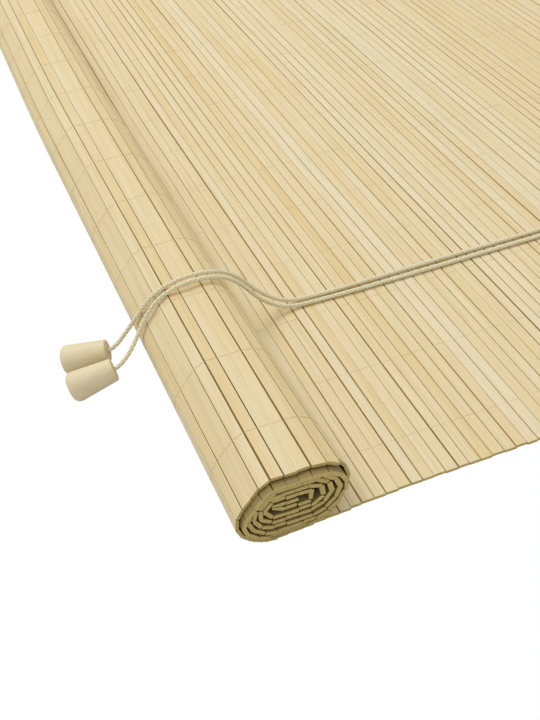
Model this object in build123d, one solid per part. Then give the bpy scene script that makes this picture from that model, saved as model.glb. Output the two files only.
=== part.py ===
from build123d import *
import math
import os

# Bamboo roll-up blind, lying face up on a floor and rolled up part of the way from its bottom end.
# X runs along the drop, from the roll to the head rail. Y runs along the slats. Z = 0 is the floor.

# Mat of split bamboo slats
BLIND_WIDTH = 800.0
SLAT_PITCH = 6.4
SLAT_THICK = 1.8
EDGE_ROUND = 0.75
EDGE_CONTACT = 0.6
FLAT_SLATS = 156
LIFTED_SLATS = 2
FIT_GAP = 0.05

# Roll: a spiral round a flat core of folded slats, pressed in at the upper side away from the head. The
# mat wasn't rolled up quite straight, so the roll stands out a little at its near end.
ROLL_X = -490.1
ROLL_RADIUS = 20.9
LAYER_PITCH = 3.0
CORE_HALF_LENGTH = 8.45
ROLL_TURNS = 5.2
LEFT_END_SHARE = 0.36
TOP_SHARE = 0.14
DENT_DEPTH = 0.3
DENT_ANGLE = 139.0
DENT_SPREAD = 44.0
CORE_FOLDS = [46, 0, 0, -6, -100, 180, 180, 150, 0, 0]
ROLL_DRIFT = 4.0
DRIFT_LENGTH = 80.0

# Warp threads that tie the slats together
THREAD_SPACING = 57.0
THREAD_MARGIN = 20.0
THREAD_WIDTH = 1.0
THREAD_THICK = 0.4
THREAD_SLIT = 1.0
THREAD_TAIL_SLATS = 2

# Head rail in front of the mat and the strip that clamps the mat to it from behind
RAIL_WIDTH = 30.0
RAIL_THICK = 12.0
RAIL_OVERHANG = 2.0
RAIL_CHAMFER = 1.5
STRIP_WIDTH = 26.0
STRIP_THICK = 3.0
STRIP_CHAMFER = 0.6
RISE_SLATS = 8

# Clamp screws, countersunk into the strip
CLAMP_SCREWS = 5
CLAMP_SCREW_SPACING = 150.0
CLAMP_SHANK_R = 1.75
CLAMP_HEAD_R = 2.9
CLAMP_BITE = 8.0

# Hanger plates on the head rail
HANGER_INSET = 55.0
PLATE_THICK = 1.5
PLATE_HALF_WIDTH = 10.0
PLATE_ON_RAIL = 24.0
PLATE_OFF_RAIL = 16.9
HOOK_HOLE_R = 4.0
PLATE_SCREW_INSET = 6.0
PLATE_SCREW_SPACING = 11.0

# Round-head screws for the metalwork on the rail
SCREW_SHANK_R = 1.5
SCREW_HEAD_R = 3.1
SCREW_HEAD_HEIGHT = 1.7
SCREW_BITE = 8.0

# Folded sheet steel of the cord lock and of the cord guide
SHEET = 1.2
BEND_R = 1.0
CHEEK_LENGTH = 27.0
CHEEK_MARGIN = 2.0
EAR_REACH = 9.0
EAR_LENGTH = 12.0
CHEEK_CORNER_R = 5.0
LOCK_Y = -246.0
LOCK_INNER_WIDTH = 11.2
GUIDE_Y = 246.0
GUIDE_INNER_WIDTH = 6.4

# Grooved wheels and their pins
WHEEL_R = 4.6
WHEEL_OFFSET = 4.0
WHEEL_HEIGHT = 6.4
WHEEL_SIDE_GAP = 0.4
WHEEL_BORE_CLEARANCE = 0.06
GROOVE_PITCH = 4.8
PIN_R = 1.2
PIN_HEAD_R = 2.1
PIN_HEAD_HEIGHT = 0.8

# Knurled roller of the cord lock, in slanted slots
ROLLER_R = 2.4
ROLLER_TRUNNION_R = 1.3
ROLLER_SIDE_GAP = 0.3
ROLLER_BEHIND_WHEEL = 3.0
ROLLER_CORD_GAP = 0.4
ROLLER_TRAVEL = 3.0
ROLLER_SLOPE = 150.0
SLOT_CLEARANCE = 0.15
KNURL_RIDGES = 14
KNURL_DEPTH = 0.25

# Hole through rail, mat and strip for the cords
CORD_HOLE_LENGTH = 9.0
CORD_HOLE_WIDTH = 9.6

# Pull cords and their turned wooden tassels
CORD_R = 1.4
CORD_REST_GAP = 0.1
TASSEL_LENGTH = 26.5
TASSEL_WIDE_R = 9.0
TASSEL_NARROW_R = 6.4
TASSEL_ROUND_R = 4.0
TASSEL_EDGE = 0.5
TASSEL_BORE_CLEARANCE = 0.35
TASSEL_POCKET_R = 4.4
TASSEL_POCKET_DEPTH = 16.0
KNOT_R = 3.6
KNOT_SEAT_GAP = 0.1
CORD_LEAD = 3.0
CORD_SAG = 0.15
FAR_MOUTH = (-539.4, -246.7, 12.3)
FAR_HEADING = 163.2
NEAR_MOUTH = (-540.3, -265.5, 13.3)
NEAR_HEADING = 176.6

HALF_THICK = SLAT_THICK / 2
NEAR_END = -BLIND_WIDTH / 2
FAR_END = BLIND_WIDTH / 2
CORE_Z = HALF_THICK + ROLL_RADIUS


def roll_point(turns):
    """Centre of the slats' thickness, so many turns in from where the roll leaves the floor."""
    share = turns % 1.0
    right_end = LEFT_END_SHARE + TOP_SHARE
    if share < LEFT_END_SHARE:
        centre, angle = -CORE_HALF_LENGTH, -90 - 180 * share / LEFT_END_SHARE
    elif share < right_end:
        along = (share - LEFT_END_SHARE) / TOP_SHARE
        centre, angle = CORE_HALF_LENGTH * (2 * along - 1), -270
    elif share < right_end + LEFT_END_SHARE:
        along = (share - right_end) / LEFT_END_SHARE
        centre, angle = CORE_HALF_LENGTH, -270 - 180 * along
    else:
        along = (share - right_end - LEFT_END_SHARE) / TOP_SHARE
        centre, angle = CORE_HALF_LENGTH * (1 - 2 * along), -450
    away = (angle - DENT_ANGLE + 180) % 360 - 180
    radius = ROLL_RADIUS - LAYER_PITCH * turns
    radius *= 1 - DENT_DEPTH * math.exp(-((away / DENT_SPREAD) ** 2))
    x = ROLL_X + centre + radius * math.cos(math.radians(angle))
    return Vector(x, 0, CORE_Z + radius * math.sin(math.radians(angle)))


def roll_joints():
    """Lines where one slat of the roll meets the next: along the spiral, then folded up in its core."""
    joints = [roll_point(0)]
    turns = 0.0
    step = 0.002
    while turns < ROLL_TURNS:
        near, far = turns, turns + step
        while (roll_point(far) - joints[-1]).length < SLAT_PITCH:
            near, far = far, far + step
        for _ in range(25):
            middle = (near + far) / 2
            if (roll_point(middle) - joints[-1]).length < SLAT_PITCH:
                near = middle
            else:
                far = middle
        turns = far
        joints.append(roll_point(turns))
    joints.pop()
    for heading in CORE_FOLDS:
        way = Vector(math.cos(math.radians(heading)), 0, math.sin(math.radians(heading)))
        joints.append(joints[-1] + way * SLAT_PITCH)
    return joints


def side_of(joints, index):
    """Unit direction across the mat at a joint, towards the inside of the roll, and its mitre factor."""
    before = joints[index] - joints[index - 1] if index > 0 else joints[1] - joints[0]
    after = joints[index + 1] - joints[index] if index < len(joints) - 1 else before
    across = [Vector(run.Z, 0, -run.X).normalized() for run in (before, after)]
    middle = (across[0] + across[1]).normalized()
    return middle, 1 / middle.dot(across[0])


def beside(joints, distance):
    """The line of joints moved sideways by a distance, with mitred corners."""
    moved = []
    for index, joint in enumerate(joints):
        across, mitre = side_of(joints, index)
        moved.append(joint + across * distance * mitre)
    return moved


def extrude_outline(points, low_y, high_y):
    """Solid between two planes across Y, from an outline in the XZ plane."""
    face = Face(Wire.make_polygon([Vector(p.X, low_y, p.Z) for p in points], close=True))
    solid = Solid.extrude(face, Vector(0, high_y - low_y, 0))
    return solid if solid.volume > 0 else solid.fix()


def edge_trim(joints, index):
    """How far a slat's inner face stops short of a joint, so that folded slats meet without crossing."""
    _, mitre = side_of(joints, index)
    half_turn = math.acos(min(1 / mitre, 1))
    return max(EDGE_ROUND, HALF_THICK * math.tan(half_turn) + 2 * FIT_GAP)


def slat_wall(joints, low_y, high_y):
    """Slats with rounded edges side by side, each touching the next along the middle of its edge."""
    contact = EDGE_CONTACT / 2
    upper, lower = [], []
    for index, joint in enumerate(joints):
        across, _ = side_of(joints, index)
        upper.append(joint + across * contact)
        lower.append(joint - across * contact)
        if index == len(joints) - 1:
            break
        along = (joints[index + 1] - joint).normalized()
        out = Vector(along.Z, 0, -along.X) * HALF_THICK
        start, end = edge_trim(joints, index), edge_trim(joints, index + 1)
        upper += [joint + along * start + out, joints[index + 1] - along * end + out]
        lower += [joint + along * EDGE_ROUND - out, joints[index + 1] - along * EDGE_ROUND - out]
    return extrude_outline(upper + lower[::-1], low_y, high_y)


def band(centre_line, low_y, high_y, thick):
    """Flat band of even thickness along a bent line."""
    return extrude_outline(
        beside(centre_line, thick / 2) + beside(centre_line, -thick / 2)[::-1], low_y, high_y
    )


def cylinder_y(x, z, radius, low_y, high_y):
    plane = Plane(origin=(x, low_y, z), x_dir=(1, 0, 0), z_dir=(0, 1, 0))
    return plane * Cylinder(radius, high_y - low_y, align=(Align.CENTER, Align.CENTER, Align.MIN))


def cylinder_z(x, y, radius, low_z, high_z):
    return Pos(x, y, low_z) * Cylinder(
        radius, high_z - low_z, align=(Align.CENTER, Align.CENTER, Align.MIN)
    )


def block(low, high):
    size = [b - a for a, b in zip(low, high)]
    return Pos(*low) * Box(*size, align=(Align.MIN, Align.MIN, Align.MIN))


# Path of the mat, from the head down to the roll's core
spiral = roll_joints()
LIFT_X = spiral[0].X
HEAD_X = LIFT_X + FLAT_SLATS * SLAT_PITCH
RAIL_HIGH_X = HEAD_X + RAIL_OVERHANG
RAIL_LOW_X = RAIL_HIGH_X - RAIL_WIDTH
RISE_END_X = RAIL_LOW_X - SLAT_PITCH
RISE_START_X = RISE_END_X - RISE_SLATS * SLAT_PITCH


def mat_height(x):
    """Height of the middle of the slats: on the floor, then eased up onto the clamp strip."""
    share = min(max((x - RISE_START_X) / (RISE_END_X - RISE_START_X), 0), 1)
    return HALF_THICK + (STRIP_THICK + FIT_GAP) * share * share * (3 - 2 * share)


flat = []
for number in range(FLAT_SLATS, 0, -1):
    x = LIFT_X + number * SLAT_PITCH
    flat.append(Vector(x, 0, mat_height(x)))
flat_joints = flat + spiral[: LIFTED_SLATS + 1]
slit_way = (spiral[LIFTED_SLATS + 1] - spiral[LIFTED_SLATS]).normalized()
rolled_joints = [spiral[LIFTED_SLATS] + slit_way * THREAD_SLIT] + spiral[LIFTED_SLATS + 1 :]

MAT_TOP = SLAT_THICK
HEAD_MAT_TOP = STRIP_THICK + FIT_GAP + SLAT_THICK
RAIL_BOTTOM = HEAD_MAT_TOP + FIT_GAP + THREAD_THICK + FIT_GAP
RAIL_TOP = RAIL_BOTTOM + RAIL_THICK
STRIP_HIGH_X = HEAD_X
STRIP_LOW_X = STRIP_HIGH_X - STRIP_WIDTH
LOCK_X = (RAIL_LOW_X + RAIL_HIGH_X) / 2
WHEEL_X = LOCK_X + WHEEL_OFFSET
WHEEL_Z = RAIL_TOP + WHEEL_HEIGHT
GROOVE_R = WHEEL_R - CORD_R
CORD_RISE_X = WHEEL_X + GROOVE_R + 2 * FIT_GAP + CORD_R
CORD_HOLE_X = CORD_RISE_X

# Slats laid flat, and slats in the roll
cord_hole = block(
    (CORD_HOLE_X - CORD_HOLE_LENGTH / 2, LOCK_Y - CORD_HOLE_WIDTH / 2, -1),
    (CORD_HOLE_X + CORD_HOLE_LENGTH / 2, LOCK_Y + CORD_HOLE_WIDTH / 2, RAIL_TOP + 1),
)
guide_hole = Pos(0, GUIDE_Y - LOCK_Y, 0) * cord_hole

clamp_x = (STRIP_LOW_X + STRIP_HIGH_X) / 2 - SLAT_PITCH
clamp_places = [
    (clamp_x, (number - (CLAMP_SCREWS - 1) / 2) * CLAMP_SCREW_SPACING) for number in range(CLAMP_SCREWS)
]
CLAMP_TIP_Z = RAIL_BOTTOM + CLAMP_BITE

flat_mat = slat_wall(flat_joints, NEAR_END - ROLL_DRIFT, FAR_END) - cord_hole - guide_hole
for x, y in clamp_places:
    flat_mat -= cylinder_z(x, y, CLAMP_SHANK_R + FIT_GAP, 0, RAIL_BOTTOM)
DRIFT_END_X = flat_joints[-1].X
DRIFT_START_X = DRIFT_END_X + DRIFT_LENGTH
for end, past in ((NEAR_END, NEAR_END - ROLL_DRIFT - 1), (FAR_END, FAR_END + 1)):
    drifted = end - ROLL_DRIFT
    trim = [(HEAD_X + 1, end), (DRIFT_START_X, end), (DRIFT_END_X, drifted), (DRIFT_END_X - 1, drifted)]
    trim += [(DRIFT_END_X - 1, past), (HEAD_X + 1, past)]
    outline = Face(Wire.make_polygon([Vector(x, y, -1) for x, y in trim], close=True))
    flat_mat -= extrude(outline, amount=RAIL_TOP, dir=(0, 0, 1))
rolled_mat = slat_wall(rolled_joints, NEAR_END - ROLL_DRIFT, FAR_END - ROLL_DRIFT)

# One warp thread: along the top of the laid slats, through the slit, then round the outside of the roll
clear_of_slats = HALF_THICK + FIT_GAP + THREAD_THICK / 2
outer_turn = 0
while spiral[outer_turn].X < ROLL_X or spiral[outer_turn].Z > CORE_Z:
    outer_turn += 1
thread_stop = outer_turn + THREAD_TAIL_SLATS
rise = [joint for joint in flat if RISE_START_X - SLAT_PITCH < joint.X < RISE_END_X + SLAT_PITCH]
laid_line = beside([flat[0]] + rise + spiral[: LIFTED_SLATS + 2], clear_of_slats)[:-1]
outer_joints = [rolled_joints[0]] + spiral[LIFTED_SLATS + 1 : thread_stop]
outer_line = beside(outer_joints, -clear_of_slats)
slit_shift = slit_way * THREAD_SLIT / 2
laid_line[-1] = laid_line[-1] + slit_shift
outer_line[0] = outer_line[0] - slit_shift
thread_band = band(laid_line + outer_line, -THREAD_WIDTH / 2, THREAD_WIDTH / 2, THREAD_THICK)
thread_rows = int((BLIND_WIDTH - 2 * THREAD_MARGIN) // THREAD_SPACING) + 1
threads = {}
for number in range(thread_rows):
    y = (number - (thread_rows - 1) / 2) * THREAD_SPACING
    threads[f"warp_thread_{number + 1:02d}"] = Pos(0, y, 0) * thread_band

# Head rail, clamp strip and clamp screws
head_rail = block((RAIL_LOW_X, NEAR_END, RAIL_BOTTOM), (RAIL_HIGH_X, FAR_END, RAIL_TOP))
head_rail = chamfer(head_rail.edges().filter_by(Axis.Y).group_by(Axis.Z)[-1], RAIL_CHAMFER)
clamp_strip = block((STRIP_LOW_X, NEAR_END, 0), (STRIP_HIGH_X, FAR_END, STRIP_THICK))
clamp_strip = chamfer(clamp_strip.edges().filter_by(Axis.Y), STRIP_CHAMFER)
head_rail = head_rail - cord_hole - guide_hole
clamp_strip = clamp_strip - cord_hole - guide_hole
head_height = CLAMP_HEAD_R - CLAMP_SHANK_R
clamp_screws = []
for x, y in clamp_places:
    shank = cylinder_z(x, y, CLAMP_SHANK_R, FIT_GAP, CLAMP_TIP_Z - CLAMP_SHANK_R)
    head = Pos(x, y, FIT_GAP + head_height / 2) * Cone(CLAMP_HEAD_R, CLAMP_SHANK_R, head_height)
    tip_height = CLAMP_SHANK_R
    tip = Pos(x, y, CLAMP_TIP_Z - tip_height / 2) * Cone(CLAMP_SHANK_R, 0.3, tip_height)
    slot = Pos(x, y, 0) * Box(2 * CLAMP_HEAD_R, 0.8, 2 * (FIT_GAP + 0.6))
    clamp_screws.append(shank + head + tip - slot)
    sink_height = head_height + FIT_GAP
    sink = Pos(x, y, sink_height / 2) * Cone(
        CLAMP_HEAD_R + 2 * FIT_GAP, CLAMP_SHANK_R + FIT_GAP, sink_height
    )
    clamp_strip = clamp_strip - sink - cylinder_z(x, y, CLAMP_SHANK_R + FIT_GAP, 0, STRIP_THICK)
    head_rail -= cylinder_z(x, y, CLAMP_SHANK_R + FIT_GAP, RAIL_BOTTOM, CLAMP_TIP_Z + FIT_GAP)


def round_head_screw(x, y, seat_z):
    """Wood screw driven down into the rail: domed slotted head, shank and point."""
    shank = cylinder_z(x, y, SCREW_SHANK_R, seat_z - SCREW_BITE + SCREW_SHANK_R, seat_z + FIT_GAP)
    tip = Pos(x, y, seat_z - SCREW_BITE + SCREW_SHANK_R / 2) * Cone(0.3, SCREW_SHANK_R, SCREW_SHANK_R)
    head = cylinder_z(x, y, SCREW_HEAD_R, seat_z + FIT_GAP, seat_z + FIT_GAP + SCREW_HEAD_HEIGHT)
    head = fillet(head.edges().group_by(Axis.Z)[-1], SCREW_HEAD_HEIGHT * 0.7)
    slot_depth = SCREW_HEAD_HEIGHT * 0.45
    slot = Pos(x, y, seat_z + FIT_GAP + SCREW_HEAD_HEIGHT) * Box(
        2.2 * SCREW_HEAD_R, 0.8, 2 * slot_depth
    )
    return shank + tip + head - slot


# Hanger plates, each with a hole for a hook beyond the rail
plate_screw_places = []


def hanger_plate(y):
    low_x, high_x = RAIL_HIGH_X - PLATE_ON_RAIL, RAIL_HIGH_X + PLATE_OFF_RAIL
    centre_x = high_x - PLATE_HALF_WIDTH
    bottom, top = RAIL_TOP, RAIL_TOP + PLATE_THICK
    plate = block((low_x, y - PLATE_HALF_WIDTH, bottom), (centre_x, y + PLATE_HALF_WIDTH, top))
    plate = fillet(plate.edges().filter_by(Axis.Z).group_by(Axis.X)[0], PLATE_HALF_WIDTH * 0.3)
    plate += cylinder_z(centre_x, y, PLATE_HALF_WIDTH, bottom, top)
    plate -= cylinder_z(centre_x, y, HOOK_HOLE_R, bottom, top)
    for number in range(2):
        place = (low_x + PLATE_SCREW_INSET + number * PLATE_SCREW_SPACING, y)
        plate -= cylinder_z(*place, SCREW_SHANK_R + FIT_GAP, bottom, top)
        plate_screw_places.append(place)
    return plate


hanger_near = hanger_plate(NEAR_END + HANGER_INSET)
hanger_far = hanger_plate(FAR_END - HANGER_INSET)
hanger_screws = [round_head_screw(x, y, RAIL_TOP + PLATE_THICK) for x, y in plate_screw_places]

# Cord lock and cord guide: folded channels whose two cheeks carry a grooved wheel
metal_screw_places = {"lock": [], "guide": []}


def folded_channel(name, y, inner_width, cheek_height):
    half_in = inner_width / 2
    half_out = half_in + SHEET
    low_x, high_x = LOCK_X - CHEEK_LENGTH / 2, LOCK_X + CHEEK_LENGTH / 2
    outside = block((low_x, y - half_out, RAIL_TOP), (high_x, y + half_out, RAIL_TOP + cheek_height))
    corners = outside.edges().filter_by(Axis.Y).group_by(Axis.Z)[-1]
    outside = fillet(corners, CHEEK_CORNER_R)
    inside = block(
        (low_x - 1, y - half_in, RAIL_TOP + SHEET), (high_x + 1, y + half_in, RAIL_TOP + cheek_height + 1)
    )
    inside = fillet(inside.edges().filter_by(Axis.X).group_by(Axis.Z)[0], BEND_R)
    channel = outside - inside
    ears = block(
        (LOCK_X - EAR_LENGTH / 2, y - half_out - EAR_REACH, RAIL_TOP),
        (LOCK_X + EAR_LENGTH / 2, y + half_out + EAR_REACH, RAIL_TOP + SHEET),
    )
    ears = fillet(ears.edges().filter_by(Axis.Z), EAR_REACH * 0.4)
    window = block(
        (CORD_HOLE_X - CORD_HOLE_LENGTH / 2, y - half_in + BEND_R, RAIL_TOP),
        (CORD_HOLE_X + CORD_HOLE_LENGTH / 2, y + half_in - BEND_R, RAIL_TOP + SHEET),
    )
    channel = channel + ears - window
    channel -= cylinder_y(WHEEL_X, WHEEL_Z, PIN_R + FIT_GAP, y - half_out, y + half_out)
    for side in (-1, 1):
        place = (LOCK_X, y + side * (half_out + EAR_REACH / 2))
        channel -= cylinder_z(*place, SCREW_SHANK_R + FIT_GAP, RAIL_TOP, RAIL_TOP + SHEET)
        metal_screw_places[name].append(place)
    return channel


def grooved_wheel(y, inner_width, grooves):
    half = inner_width / 2 - WHEEL_SIDE_GAP
    wheel = cylinder_y(WHEEL_X, WHEEL_Z, WHEEL_R, y - half, y + half)
    for number in range(grooves):
        groove_y = y + (number - (grooves - 1) / 2) * GROOVE_PITCH
        plane = Plane(origin=(WHEEL_X, groove_y, WHEEL_Z), x_dir=(1, 0, 0), z_dir=(0, 1, 0))
        wheel -= plane * Torus(GROOVE_R + CORD_R + FIT_GAP, CORD_R + FIT_GAP)
    return wheel - cylinder_y(WHEEL_X, WHEEL_Z, PIN_R + WHEEL_BORE_CLEARANCE, y - half, y + half)


def riveted_pin(y, inner_width):
    half = inner_width / 2 + SHEET + FIT_GAP
    pin = cylinder_y(WHEEL_X, WHEEL_Z, PIN_R, y - half, y + half)
    for low in (-half - PIN_HEAD_HEIGHT, half):
        pin += cylinder_y(WHEEL_X, WHEEL_Z, PIN_HEAD_R, y + low, y + low + PIN_HEAD_HEIGHT)
    return pin


cord_top = WHEEL_Z + GROOVE_R + 2 * FIT_GAP + 2 * CORD_R
roller_way = Vector(math.cos(math.radians(ROLLER_SLOPE)), 0, math.sin(math.radians(ROLLER_SLOPE)))
roller_rest = Vector(WHEEL_X - ROLLER_BEHIND_WHEEL, LOCK_Y, cord_top + ROLLER_CORD_GAP + ROLLER_R)
roller_slot_r = ROLLER_TRUNNION_R + SLOT_CLEARANCE
slot_top_z = roller_rest.Z + roller_way.Z * ROLLER_TRAVEL + roller_slot_r
lock_frame = folded_channel("lock", LOCK_Y, LOCK_INNER_WIDTH, slot_top_z + CHEEK_MARGIN - RAIL_TOP)
half_lock = LOCK_INNER_WIDTH / 2 + SHEET
slot_ends = [roller_rest, roller_rest + roller_way * ROLLER_TRAVEL]
for end in slot_ends:
    lock_frame -= cylinder_y(end.X, end.Z, roller_slot_r, LOCK_Y - half_lock, LOCK_Y + half_lock)
slot_side = Vector(-roller_way.Z, 0, roller_way.X) * roller_slot_r
slot_outline = [
    slot_ends[0] + slot_side,
    slot_ends[1] + slot_side,
    slot_ends[1] - slot_side,
    slot_ends[0] - slot_side,
]
lock_frame -= extrude_outline(slot_outline, LOCK_Y - half_lock, LOCK_Y + half_lock)
lock_wheel = grooved_wheel(LOCK_Y, LOCK_INNER_WIDTH, 2)
lock_wheel_pin = riveted_pin(LOCK_Y, LOCK_INNER_WIDTH)

roller_half = LOCK_INNER_WIDTH / 2 - ROLLER_SIDE_GAP
ridge_points = []
for number in range(2 * KNURL_RIDGES):
    turn = math.pi * number / KNURL_RIDGES
    radius = ROLLER_R if number % 2 == 0 else ROLLER_R - KNURL_DEPTH
    ridge_points.append(roller_rest + Vector(math.cos(turn), 0, math.sin(turn)) * radius)
lock_roller = extrude_outline(ridge_points, LOCK_Y - roller_half, LOCK_Y + roller_half)
lock_roller += cylinder_y(
    roller_rest.X, roller_rest.Z, ROLLER_TRUNNION_R, LOCK_Y - half_lock - 0.8, LOCK_Y + half_lock + 0.8
)

guide_frame = folded_channel("guide", GUIDE_Y, GUIDE_INNER_WIDTH, cord_top + CHEEK_MARGIN - RAIL_TOP)
guide_wheel = grooved_wheel(GUIDE_Y, GUIDE_INNER_WIDTH, 1)
guide_wheel_pin = riveted_pin(GUIDE_Y, GUIDE_INNER_WIDTH)
lock_screws = [round_head_screw(x, y, RAIL_TOP + SHEET) for x, y in metal_screw_places["lock"]]
guide_screws = [round_head_screw(x, y, RAIL_TOP + SHEET) for x, y in metal_screw_places["guide"]]
for x, y in plate_screw_places:
    hole_bottom = RAIL_TOP + PLATE_THICK - SCREW_BITE - FIT_GAP
    head_rail -= cylinder_z(x, y, SCREW_SHANK_R + FIT_GAP, hole_bottom, RAIL_TOP)
for x, y in metal_screw_places["lock"] + metal_screw_places["guide"]:
    hole_bottom = RAIL_TOP + SHEET - SCREW_BITE - FIT_GAP
    head_rail -= cylinder_z(x, y, SCREW_SHANK_R + FIT_GAP, hole_bottom, RAIL_TOP)


# Tassels of turned wood beside the roll: the cord holds up the narrow end, and the wide end is on the floor
def tassel_place(mouth, heading):
    """Plane at the narrow end, leaning down until the rounded edge of the wide end meets the floor."""
    flare = (TASSEL_WIDE_R - TASSEL_NARROW_R) / TASSEL_LENGTH
    round_along = TASSEL_LENGTH - TASSEL_ROUND_R
    round_out = TASSEL_NARROW_R + flare * round_along - TASSEL_ROUND_R * math.hypot(1, flare)
    drop = mouth[2] - FIT_GAP - TASSEL_ROUND_R
    lean = math.atan2(round_out, round_along) - math.asin(drop / math.hypot(round_along, round_out))
    way = Vector(
        math.cos(lean) * math.cos(math.radians(heading)),
        math.cos(lean) * math.sin(math.radians(heading)),
        math.sin(lean),
    )
    return Plane(origin=mouth, z_dir=way)


def tassel(place):
    """A bell lying on its side, bored for the cord and pocketed for its knot."""
    profile = [(0, 0), (TASSEL_NARROW_R, 0), (TASSEL_WIDE_R, TASSEL_LENGTH), (0, TASSEL_LENGTH)]
    face = make_face(Polyline(*[(r, 0, h) for r, h in profile], close=True))
    body = revolve(face, Axis.Z)
    body = fillet(body.edges().group_by(Axis.Z)[-1], TASSEL_ROUND_R)
    body = chamfer(body.edges().filter_by(GeomType.CIRCLE).group_by(Axis.Z)[0], TASSEL_EDGE)
    body -= cylinder_z(0, 0, CORD_R + TASSEL_BORE_CLEARANCE, 0, TASSEL_LENGTH)
    body -= cylinder_z(0, 0, TASSEL_POCKET_R, TASSEL_LENGTH - TASSEL_POCKET_DEPTH, TASSEL_LENGTH)
    return place * body


def cord_in_tassel(place):
    """Route points on the tassel's axis: before its mouth, low in its bore, and the knot in its pocket."""
    knot = TASSEL_LENGTH - TASSEL_POCKET_DEPTH + KNOT_SEAT_GAP + KNOT_R
    places = [-CORD_LEAD, (knot - CORD_LEAD) / 2, knot]
    points = [place.origin + place.z_dir * along for along in places]
    points[1] = points[1] - Vector(0, 0, CORD_SAG)
    return [tuple(point) for point in points]


far_place = tassel_place(FAR_MOUTH, FAR_HEADING)
near_place = tassel_place(NEAR_MOUTH, NEAR_HEADING)
far_tassel = tassel(far_place)
near_tassel = tassel(near_place)


# Pull cords: from the hole in the rail, over the wheel, down onto the mat and over the roll to the tassels
def cord_tube(name, points, wheel_corner):
    points = [Vector(*point) for point in points]
    radii = []
    for before, point, after in zip(points, points[1:], points[2:]):
        turn = math.radians((point - before).get_angle(after - point))
        shorter = min((point - before).length, (after - point).length)
        radii.append(0.45 * shorter / math.tan(turn / 2))
    radii[0] = wheel_corner
    path = FilletPolyline(*points, radius=radii)
    length = path.length
    start = Plane(origin=points[0], z_dir=points[1] - points[0])
    tube = sweep(start * Circle(CORD_R), path=path)
    section = math.pi * CORD_R**2
    print(name, "length", round(length, 1), "volume share", round(tube.volume / (section * length), 4))
    print(name, "radii", [round(radius, 1) for radius in radii])
    return tube + Pos(points[-1]) * Sphere(KNOT_R)


ON_MAT = MAT_TOP + CORD_R + CORD_REST_GAP
WHEEL_TOP = WHEEL_Z + GROOVE_R + 2 * FIT_GAP + CORD_R
IN_HOLE = RAIL_TOP - 6.0
FAR_CORD_Y = LOCK_Y + GROOVE_PITCH / 2
NEAR_CORD_Y = LOCK_Y - GROOVE_PITCH / 2
far_route = [
    (CORD_RISE_X, FAR_CORD_Y, IN_HOLE),
    (CORD_RISE_X, FAR_CORD_Y, WHEEL_TOP),
    (470.0, -243.6, 27.9),
    (440.0, -243.2, 10.0),
    (414.0, -243.6, ON_MAT),
    (368.0, -244.6, ON_MAT),
    (310.0, -244.2, ON_MAT),
    (252.0, -242.2, ON_MAT),
    (194.0, -239.6, ON_MAT),
    (135.0, -237.8, ON_MAT),
    (77.0, -237.4, ON_MAT),
    (18.0, -238.6, ON_MAT),
    (-41.0, -241.2, ON_MAT),
    (-99.0, -243.4, ON_MAT),
    (-158.0, -244.4, ON_MAT),
    (-217.0, -244.2, ON_MAT),
    (-330.0, -242.8, ON_MAT),
    (-385.0, -242.4, ON_MAT),
    (-411.0, -242.0, ON_MAT),
    (-431.0, -240.4, 4.0),
    (-445.5, -240.4, 15.4),
    (-458.8, -241.4, 33.8),
    (-471.5, -243.0, 42.6),
    (-492.5, -244.4, 44.8),
    (-508.8, -244.6, 39.3),
    (-518.5, -242.2, 26.3),
    (-527.0, -243.4, 18.4),
    *cord_in_tassel(far_place),
]
near_route = [
    (CORD_RISE_X, NEAR_CORD_Y, IN_HOLE),
    (CORD_RISE_X, NEAR_CORD_Y, WHEEL_TOP),
    (470.0, -248.4, 27.9),
    (442.0, -248.8, 10.6),
    (417.0, -249.4, ON_MAT),
    (372.0, -250.6, ON_MAT),
    (314.0, -250.6, ON_MAT),
    (256.0, -249.2, ON_MAT),
    (197.0, -247.2, ON_MAT),
    (139.0, -246.2, ON_MAT),
    (80.0, -246.4, ON_MAT),
    (21.0, -247.8, ON_MAT),
    (-38.0, -250.0, ON_MAT),
    (-97.0, -251.2, ON_MAT),
    (-156.0, -251.0, ON_MAT),
    (-215.0, -250.2, ON_MAT),
    (-330.0, -248.8, ON_MAT),
    (-386.0, -248.2, ON_MAT),
    (-412.0, -247.0, ON_MAT),
    (-432.0, -246.2, 3.9),
    (-447.0, -246.2, 14.4),
    (-459.6, -247.2, 33.4),
    (-472.0, -248.4, 42.8),
    (-493.0, -249.8, 44.8),
    (-508.8, -250.9, 39.3),
    (-518.8, -252.2, 26.4),
    (-528.0, -260.2, 18.8),
    *cord_in_tassel(near_place),
]
far_cord = cord_tube("far_cord", far_route, GROOVE_R + 2 * FIT_GAP + CORD_R)
near_cord = cord_tube("near_cord", near_route, GROOVE_R + 2 * FIT_GAP + CORD_R)

os.makedirs("parts", exist_ok=True)
nodes = {
    "flat_mat": flat_mat,
    "rolled_mat": rolled_mat,
    **threads,
    "head_rail": head_rail,
    "clamp_strip": clamp_strip,
    "clamp_screws": Compound(clamp_screws),
    "hanger_plate_near": hanger_near,
    "hanger_plate_far": hanger_far,
    "hanger_screws": Compound(hanger_screws),
    "lock_frame": lock_frame,
    "lock_wheel": lock_wheel,
    "lock_wheel_pin": lock_wheel_pin,
    "lock_roller": lock_roller,
    "lock_screws": Compound(lock_screws),
    "guide_frame": guide_frame,
    "guide_wheel": guide_wheel,
    "guide_wheel_pin": guide_wheel_pin,
    "guide_screws": Compound(guide_screws),
    "pull_cord_near": near_cord,
    "pull_cord_far": far_cord,
    "tassel_near": near_tassel,
    "tassel_far": far_tassel,
}
for node, shape in nodes.items():
    export_step(shape, f"parts/{node}.step")
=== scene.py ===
import math
import random

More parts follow.
